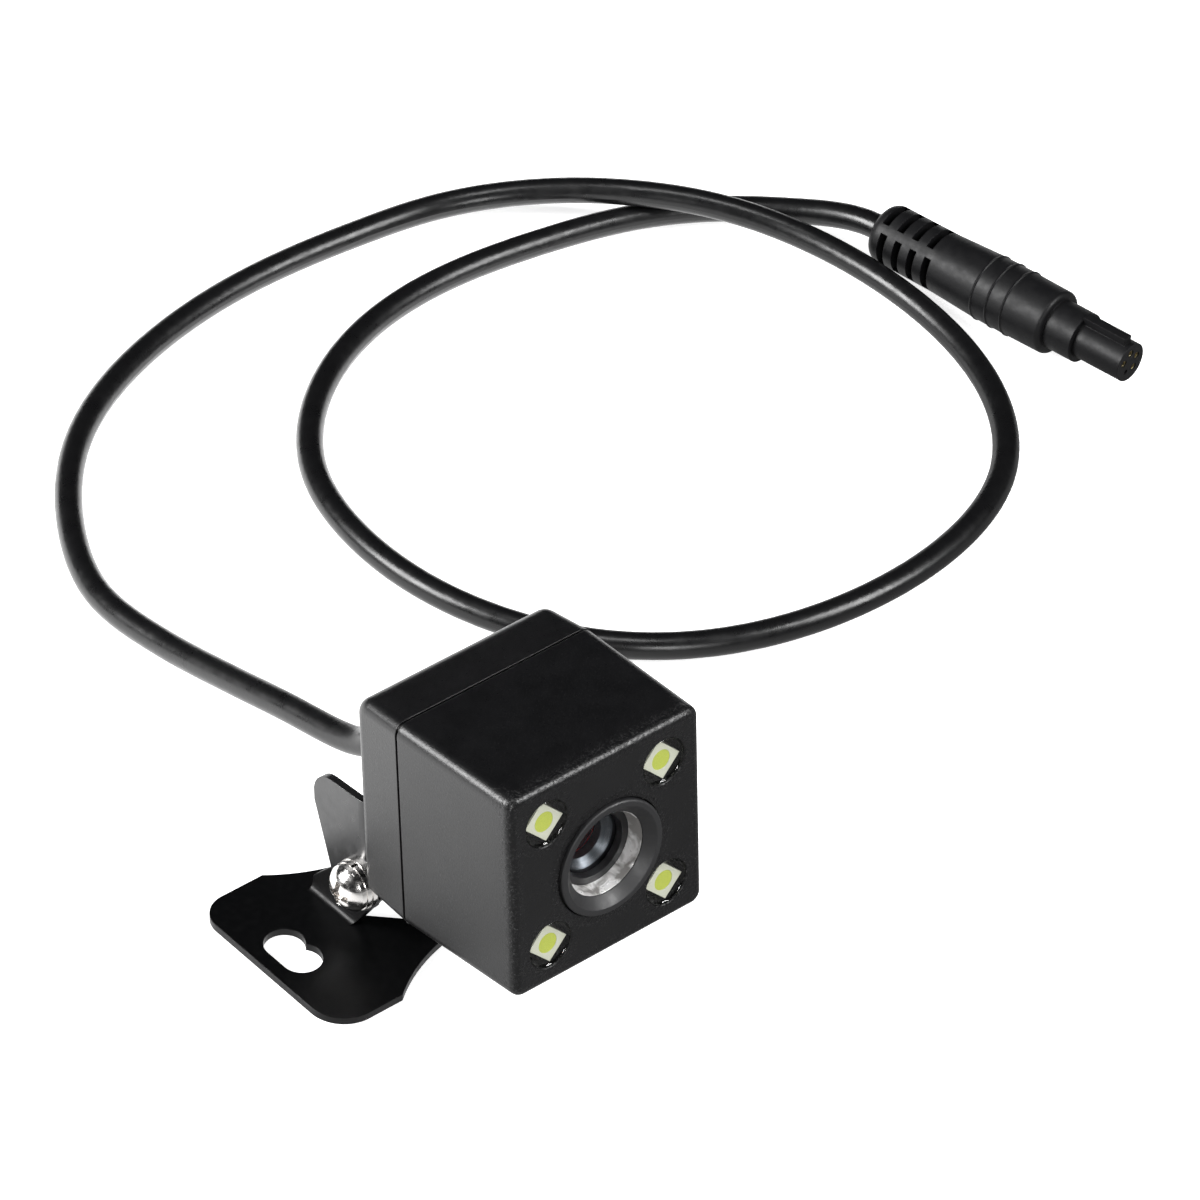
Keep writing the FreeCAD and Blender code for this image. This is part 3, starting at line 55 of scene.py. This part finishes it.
class Shader:
    """A principled material and short calls for its nodes. Texture scales are per millimetre."""

    def __init__(self, name, color, rough, metallic=0.0, **inputs):
        self.material = bpy.data.materials.new(name)
        self.material.use_nodes = True
        self.tree = self.material.node_tree
        self.bsdf = self.tree.nodes["Principled BSDF"]
        self.output = self.tree.nodes["Material Output"]
        self.coords = self.tree.nodes.new("ShaderNodeTexCoord")
        self.set("Base Color", (*color, 1.0))
        self.set("Roughness", rough)
        self.set("Metallic", metallic)
        for key, value in inputs.items():
            self.set(key.replace("_", " "), value)
        self.normal = None

    def set(self, key, value):
        if isinstance(value, bpy.types.NodeSocket):
            self.tree.links.new(value, self.bsdf.inputs[key])
        else:
            self.bsdf.inputs[key].default_value = value

    def node(self, kind, **values):
        made = self.tree.nodes.new(f"ShaderNode{kind}")
        for key, value in values.items():
            if hasattr(made, key) and key not in made.inputs:
                setattr(made, key, value)
            else:
                self.feed(made, key.replace("_", " "), value)
        return made

    def feed(self, made, key, value):
        socket = made.inputs[int(key)] if key.isdigit() else made.inputs[key]
        if isinstance(value, bpy.types.NodeSocket):
            self.tree.links.new(value, socket)
        else:
            socket.default_value = value

    def place(self, stretch=(1, 1, 1)):
        mapped = self.node("Mapping")
        self.feed(mapped, "Vector", self.coords.outputs["Object"])
        self.feed(mapped, "Scale", tuple(s * 1000 for s in stretch))
        return mapped.outputs["Vector"]

    def noise(self, per_mm, detail=2.0, roughness=0.5, stretch=(1, 1, 1), distortion=0.0):
        made = self.node("TexNoise", Vector=self.place(stretch), Scale=per_mm, Detail=detail,
                         Roughness=roughness, Distortion=distortion)
        return made.outputs["Fac"]

    def voronoi(self, per_mm, feature="F1", stretch=(1, 1, 1)):
        made = self.node("TexVoronoi", feature=feature, Vector=self.place(stretch), Scale=per_mm)
        return made.outputs["Distance"]

    def spread(self, value, low, high, out_low=0.0, out_high=1.0):
        made = self.node("MapRange", Value=value)
        for key, number in (("From Min", low), ("From Max", high), ("To Min", out_low), ("To Max", out_high)):
            made.inputs[key].default_value = number
        return made.outputs["Result"]

    def math(self, operation, a, b=0.0):
        made = self.node("Math", operation=operation)
        self.feed(made, "0", a)
        self.feed(made, "1", b)
        return made.outputs[0]

    def blend(self, fac, a, b):
        made = self.node("Mix", data_type="RGBA")
        self.feed(made, "0", fac)
        for index, value in ((6, a), (7, b)):
            if not isinstance(value, bpy.types.NodeSocket):
                value = (*value, 1.0)
            self.feed(made, str(index), value)
        return made.outputs[2]

    def bump(self, height, depth_mm, strength=1.0):
        made = self.node("Bump", Height=height, Strength=strength, Distance=depth_mm * MM)
        if self.normal is not None:
            self.feed(made, "Normal", self.normal)
        self.normal = made.outputs["Normal"]
        self.set("Normal", self.normal)

    def near_edges(self, radius_mm):
        """0 on flat faces, rising to 1 on the edges, over the given radius."""
        wide = self.node("Bevel", Radius=radius_mm * MM)
        wide.samples = 6
        flat = self.node("NewGeometry").outputs["Normal"]
        aligned = self.node("VectorMath", operation="DOT_PRODUCT")
        self.feed(aligned, "0", wide.outputs["Normal"])
        self.feed(aligned, "1", flat)
        return self.spread(aligned.outputs["Value"], 0.995, 0.9)

    def round_edges(self, radius_mm):
        made = self.node("Bevel", Radius=radius_mm * MM)
        made.samples = 4
        self.normal = made.outputs["Normal"]
        self.set("Normal", self.normal)


def paint(shader, *names):
    for name in names:
        data = nodes[name].data
        data.materials.clear()
        data.materials.append(shader.material)


# ---------------------------------------------------------------- materials

WEAR_STARTS = -0.0215  # along Y, behind the housing's front face
WEAR_IS_FULL = -0.024


def textured_housing():
    """Black ABS, faintly cloudy, with a fine grain that glints on the worn edges of the front."""
    s = Shader("housing_abs", (0.003, 0.003, 0.0033), 0.34, Specular_IOR_Level=0.4)
    cloud = s.spread(s.noise(0.35, detail=3), 0.35, 0.7)
    s.set("Base Color", s.blend(cloud, (0.0024, 0.0024, 0.0027), (0.0038, 0.0038, 0.0042)))
    grain = s.noise(5.0, detail=3, roughness=0.6)
    s.set("Roughness", s.spread(grain, 0.3, 0.7, 0.27, 0.4))
    along = s.node("SeparateXYZ", Vector=s.coords.outputs["Object"]).outputs["Y"]
    worn = s.math("MULTIPLY", s.near_edges(2.6), s.spread(along, WEAR_STARTS, WEAR_IS_FULL))
    s.round_edges(0.12)
    s.bump(grain, 0.022, 0.7)
    glints = s.math("MULTIPLY", s.spread(s.noise(3.0, detail=2), 0.5, 0.62), worn)
    s.bump(glints, 0.2, 1.0)
    return s


def soft_rubber():
    s = Shader("gasket_rubber", (0.008, 0.008, 0.008), 0.7)
    s.bump(s.noise(3.0, detail=4), 0.02, 0.5)
    return s


def enamel():
    """Stoved black with a slight orange peel and an uneven gloss."""
    s = Shader("foot_enamel", (0.0015, 0.0015, 0.0017), 0.4, Specular_IOR_Level=0.2)
    s.round_edges(0.16)
    s.bump(s.noise(0.8, detail=1), 0.02, 0.5)
    s.bump(s.noise(5.0, detail=3), 0.012, 0.5)
    s.set("Roughness", s.spread(s.noise(1.2, detail=6, roughness=0.7), 0.45, 0.75, 0.34, 0.5))
    return s


def satin_black():
    s = Shader("bracket_paint", (0.006, 0.006, 0.0065), 0.3, Specular_IOR_Level=0.7)
    s.round_edges(0.12)
    s.bump(s.noise(3.2, detail=3), 0.012, 0.5)
    s.set("Roughness", s.spread(s.noise(0.8, detail=4), 0.3, 0.7, 0.26, 0.4))
    return s


def nickel():
    s = Shader("bright_nickel", (0.78, 0.76, 0.74), 0.14, metallic=1.0)
    s.round_edges(0.06)
    wear = s.noise(2.0, detail=5, roughness=0.65)
    s.set("Roughness", s.spread(wear, 0.3, 0.75, 0.08, 0.3))
    s.bump(s.noise(6.0, detail=2, stretch=(3, 1, 1)), 0.006, 0.5)
    return s


def zinc():
    s = Shader("zinc_plate", (0.6, 0.6, 0.6), 0.3, metallic=1.0)
    s.round_edges(0.05)
    s.bump(s.noise(4.0, detail=3), 0.008, 0.5)
    return s


def pcb(name, track, mask):
    s = Shader(name, mask, 0.3)
    tracks = s.spread(s.voronoi(1.4, "DISTANCE_TO_EDGE"), 0.02, 0.05)
    s.set("Base Color", s.blend(tracks, track, mask))
    s.bump(tracks, 0.02, 0.6)
    return s


def moulded(name, color, rough, grain=4.0, depth=0.015, **inputs):
    """Plain moulded plastic: a fine grain and uneven gloss."""
    s = Shader(name, color, rough, **inputs)
    s.round_edges(0.08)
    s.bump(s.noise(grain, detail=3), depth, 0.5)
    s.set("Roughness", s.spread(s.noise(0.9, detail=4), 0.3, 0.7, rough - 0.06, rough + 0.08))
    return s


def phosphor():
    s = Shader("lamp_phosphor", (0.5, 0.55, 0.09), 0.3, Subsurface_Weight=0.15,
               Subsurface_Radius=(0.001, 0.001, 0.0004), Subsurface_Scale=0.3)
    grain = s.noise(9.0, detail=3)
    s.set("Base Color", s.blend(s.spread(grain, 0.3, 0.7), (0.46, 0.51, 0.075), (0.54, 0.58, 0.105)))
    s.bump(grain, 0.01, 0.4)
    return s


def clear(name, tint, reflect_tint, amount, rough=0.02):
    """Clear potting or coated glass: see-through, with a tinted reflection on its outer faces."""
    s = Shader(name, (0, 0, 0), rough)
    through = s.node("BsdfTransparent")
    s.feed(through, "Color", (*tint, 1.0))
    gloss = s.node("BsdfGlossy", Color=(*reflect_tint, 1.0), Roughness=rough)
    wave = s.node("Bump", Height=s.noise(0.6, detail=1), Strength=0.3, Distance=0.01 * MM)
    s.feed(gloss, "Normal", wave.outputs["Normal"])
    edge = s.node("Fresnel", IOR=1.45)
    outside = s.math("SUBTRACT", 1.0, s.node("NewGeometry").outputs["Backfacing"])
    share = s.math("MULTIPLY", s.math("MULTIPLY", edge.outputs["Fac"], amount), outside)
    mix = s.node("MixShader")
    s.feed(mix, "0", share)
    s.feed(mix, "1", through.outputs[0])
    s.feed(mix, "2", gloss.outputs[0])
    s.tree.links.new(mix.outputs[0], s.output.inputs["Surface"])
    return s


def turned_metal(name, color, rough):
    s = Shader(name, color, rough, metallic=1.0)
    s.round_edges(0.05)
    s.bump(s.noise(5.0, detail=2), 0.006, 0.5)
    return s


def ring_metal():
    """Unpolished aluminium with light and dark blotches."""
    s = Shader("bare_aluminium", (0.6, 0.6, 0.61), 0.4, metallic=0.3)
    s.round_edges(0.05)
    patches = s.noise(0.55, detail=3, distortion=0.8)
    s.set("Base Color", s.blend(s.spread(patches, 0.42, 0.6), (0.3, 0.29, 0.28), (0.98, 0.97, 0.96)))
    s.set("Roughness", s.spread(patches, 0.4, 0.65, 0.5, 0.25))
    s.bump(s.noise(1.5, detail=3), 0.06, 0.6)
    return s


def jacket():
    """Black PVC cable jacket: semi-gloss, scuffed and slightly wavy."""
    s = Shader("cable_pvc", (0.0032, 0.0032, 0.0035), 0.34, Specular_IOR_Level=0.42)
    scuffs = s.noise(0.5, detail=6, roughness=0.7)
    s.set("Roughness", s.spread(scuffs, 0.35, 0.75, 0.26, 0.4))
    s.bump(s.noise(0.7, detail=2), 0.03, 0.4)
    s.bump(s.noise(6.0, detail=2), 0.006, 0.4)
    return s


paint(textured_housing(), "front_housing", "rear_cover")
paint(soft_rubber(), "housing_seal", "cable_grommet")
paint(enamel(), "foot_bracket")
paint(satin_black(), "head_bracket")
fasteners = ("hinge_screw", "spring_washer", "flat_washer")
paint(nickel(), *[f"{side}_{part}" for side in ("left", "right") for part in fasteners])
paint(zinc(), "cover_screws", "board_screws", "led_board_screws", "holder_screws", "bracket_screws",
      "cable_clamp")
paint(pcb("black_board", (0.012, 0.010, 0.008), (0.006, 0.005, 0.004)), "led_board")
paint(pcb("green_board", (0.03, 0.17, 0.07), (0.012, 0.09, 0.035)), "sensor_board")
paint(moulded("lamp_case", (0.62, 0.61, 0.54), 0.4), "led_packages")
paint(phosphor(), "led_phosphors")
potting = clear("lamp_potting", (0.97, 0.98, 0.96), (1, 1, 1), 0.9)
paint(potting, "led_windows")
paint(moulded("lens_black", (0.010, 0.010, 0.011), 0.38, grain=6.0, depth=0.01), "lens_stop")
paint(moulded("barrel_black", (0.012, 0.012, 0.013), 0.5, grain=6.0, depth=0.02,
              Specular_IOR_Level=0.6), "lens_barrel")
paint(turned_metal("lens_spacer_metal", (0.09, 0.095, 0.1), 0.34), "lens_spacer")
paint(ring_metal(), "lens_retaining_ring")
paint(clear("front_glass", (0.93, 0.94, 0.95), (0.85, 0.9, 1.0), 0.6), "front_lens")
paint(clear("inner_glass", (0.8, 0.84, 0.84), (0.75, 0.8, 0.9), 1.0), "rear_lens")
paint(clear("coated_glass", (0.75, 0.7, 0.7), (1.0, 0.1, 0.08), 2.0, rough=0.3), "middle_lens")
paint(clear("filter_glass", (0.4, 0.5, 0.48), (0.9, 0.3, 0.25), 1.0), "infrared_filter")
paint(moulded("holder_black", (0.012, 0.012, 0.012), 0.5), "lens_holder")
paint(moulded("sensor_package", (0.03, 0.05, 0.05), 0.25), "image_sensor")
paint(moulded("chip_black", (0.015, 0.015, 0.017), 0.4), "board_chips")
paint(moulded("header_nylon", (0.55, 0.52, 0.45), 0.4), "wire_header")
paint(moulded("wire_insulation", (0.3, 0.02, 0.015), 0.35), "led_wires", "cable_cores")
paint(moulded("plug_black", (0.0045, 0.0045, 0.005), 0.46, grain=3.0, depth=0.02,
              Specular_IOR_Level=0.22), "plug_boot", "plug_insert")
paint(turned_metal("contact_gold", (0.7, 0.6, 0.35), 0.3), "plug_contacts")
paint(jacket(), "cable_tail", "cable_bend", "cable_loop")

# ---------------------------------------------------------------- lamp potting


def quarters(name):
    """The middle of each of a node's four pieces, one in each corner around its centre."""
    low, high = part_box(name)
    centre = (low + high) / 2
    corners = {}
    for vertex in nodes[name].data.vertices:
        corner = (vertex.co.x > centre.x, vertex.co.z > centre.z)
        corners.setdefault(corner, []).append(vertex.co)
    middles = []
    for group in corners.values():
        spans = [(min(co[axis] for co in group), max(co[axis] for co in group)) for axis in range(3)]
        middles.append(Vector([(first + last) / 2 for first, last in spans]))
    return middles


def lathe(profile, centre, axis, steps=64):
    """Vertices and faces of a turned solid; the profile holds (radius, height) from axis to axis."""
    turn = axis.to_track_quat("Z", "Y")
    points, faces, row = [], [], []
    for radius, height in profile:
        row.append(len(points))
        for k in range(1 if radius == 0 else steps):
            angle = 2 * math.pi * k / steps
            local = Vector((radius * math.cos(angle), radius * math.sin(angle), height))
            points.append(centre + turn @ (local * MM))
    for i in range(len(profile) - 1):
        first, second = row[i], row[i + 1]
        for k in range(steps):
            n = (k + 1) % steps
            if profile[i][0] == 0:
                faces.append((first, second + n, second + k))
            elif profile[i + 1][0] == 0:
                faces.append((first + k, first + n, second))
            else:
                faces.append((first + k, first + n, second + n, second + k))
    return points, faces


def put_in_scene(name, data):
    made = bpy.data.objects.new(name, data)
    bpy.context.collection.objects.link(made)
    return made


def piece_from(name, points, faces, material, smooth=True):
    mesh = bpy.data.meshes.new(name)
    mesh.from_pydata(points, [], faces)
    mesh.polygons.foreach_set("use_smooth", [smooth] * len(mesh.polygons))
    mesh.materials.append(material)
    return put_in_scene(name, mesh)


def forward():
    """The way the lens looks: the normal of the diode board's largest face, towards -Y."""
    face = max(nodes["led_board"].data.polygons, key=lambda polygon: polygon.area)
    return face.normal if face.normal.y < 0 else -face.normal


# Radius from the window's middle and height along the way the lens looks, in millimetres:
# the flat back and the wall, then the meniscus falling to the sunken middle.
POTTING_PROFILE = [
    (0, -0.1), (2.46, -0.1), (2.46, 0.17), (2.42, 0.2), (2.38, 0.17), (2.3, 0.08),
    (2.15, 0.01), (1.9, -0.02), (1.3, -0.035), (0.6, -0.04), (0, -0.04),
]


def lamp_potting():
    """Clear resin in each lamp window, drawn up into a meniscus around the wall."""
    look = forward()
    points, faces = [], []
    for middle in quarters("led_windows"):
        more, sides = lathe(POTTING_PROFILE, middle, look)
        faces += [tuple(index + len(points) for index in side) for side in sides]
        points += more
    resin = piece_from("lamp_potting", points, faces, potting.material)
    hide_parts("led_windows")
    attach(resin, "head")


lamp_potting()

# ---------------------------------------------------------------- flexible cable

flex = put_in_scene("cable_flex", nodes["cable_bend"].data.copy())
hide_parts("cable_bend")
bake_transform(flex)

# ---------------------------------------------------------------- floor, light, camera

FLOOR_HALF = 3.0
FLOOR_Z = -0.00004  # just clear of the foot's underside
WHITE = 0.8
FLOOR_GRAY = 0.1  # the floor's own colour where it is only seen in a reflection
DARK_END = (-0.025, 0.15)  # distance towards the key light, and glow in reflections there
BRIGHT_END = (0.035, 2.3)

ground = Shader("floor_white", (WHITE, WHITE, WHITE), 0.9)
# Seen directly the paper is evenly white. In reflections it is painted light: it glows over a dark floor
# colour, brightest towards the key light and fading away from it.
where = ground.node("SeparateXYZ")
ground.feed(where, "0", ground.coords.outputs["Object"])
towards_key = ground.math("SUBTRACT", ground.math("MULTIPLY", where.outputs["Y"], 0.75),
                          ground.math("MULTIPLY", where.outputs["X"], 0.35))
painted_glow = ground.spread(towards_key, DARK_END[0], BRIGHT_END[0], DARK_END[1], BRIGHT_END[1])
seen = ground.node("LightPath").outputs["Is Camera Ray"]
level = ground.node("Mix", data_type="FLOAT")
ground.feed(level, "0", seen)
ground.feed(level, "2", painted_glow)
ground.feed(level, "3", WHITE)
ground.set("Base Color", ground.blend(seen, [FLOOR_GRAY] * 3, [WHITE] * 3))
ground.set("Emission Color", (1, 1, 1, 1))
ground.set("Emission Strength", level.outputs[0])

corners = [(-FLOOR_HALF, -FLOOR_HALF, FLOOR_Z), (FLOOR_HALF, -FLOOR_HALF, FLOOR_Z),
           (FLOOR_HALF, FLOOR_HALF, FLOOR_Z), (-FLOOR_HALF, FLOOR_HALF, FLOOR_Z)]
piece_from("floor", corners, [(0, 1, 2, 3)], ground.material, smooth=False)

LIT_POINT = Vector((0.0, 0.0, 0.015))
# Name, direction from the lit point, distance in metres, size in metres and power in watts.
SOFTBOXES = [
    ("key_box", (-0.70, 0.46, 0.52), 0.7, (0.32, 0.32), 9.0),
    ("edge_box", (0.50, -0.62, 0.60), 0.7, (0.2, 0.4), 5.0),
    ("overhead_box", (-0.1, 0.0, 1.0), 0.9, (0.25, 0.25), 2.0),
    ("front_box", (-0.45, -0.85, 0.4), 0.7, (0.2, 0.2), 2.0),
]


def aimed(from_point, to_point):
    """The turn that points a light or a camera from one place at another."""
    return (to_point - from_point).to_track_quat("-Z", "Y")


for name, direction, distance, size, power in SOFTBOXES:
    data = bpy.data.lights.new(name, "AREA")
    data.shape = "RECTANGLE"
    data.size, data.size_y = size
    data.energy = power
    lamp = put_in_scene(name, data)
    lamp.location = LIT_POINT + Vector(direction).normalized() * distance
    lamp.rotation_euler = aimed(lamp.location, LIT_POINT).to_euler()

world = bpy.data.worlds.new("studio")
bpy.context.scene.world = world
world.use_nodes = True
world.node_tree.nodes["Background"].inputs["Color"].default_value = (0.9, 0.93, 1.0, 1)
world.node_tree.nodes["Background"].inputs["Strength"].default_value = 0.02
bpy.context.scene.view_settings.view_transform = "Standard"

EYE = Vector((-0.3425, -0.4036, 0.4752))
AIM = Vector((0.0421, 0.0236, 0.0))
ROLL = math.radians(2.66)

camera_data = bpy.data.cameras.new("camera")
camera_data.sensor_width = 36.0
camera_data.lens = 216.9
camera_data.clip_start, camera_data.clip_end = 0.01, 20
camera = put_in_scene("camera", camera_data)
turn = aimed(EYE, AIM).to_matrix().to_4x4() @ Matrix.Rotation(ROLL, 4, "Z")
camera.matrix_world = Matrix.Translation(EYE) @ turn
bpy.context.scene.camera = camera
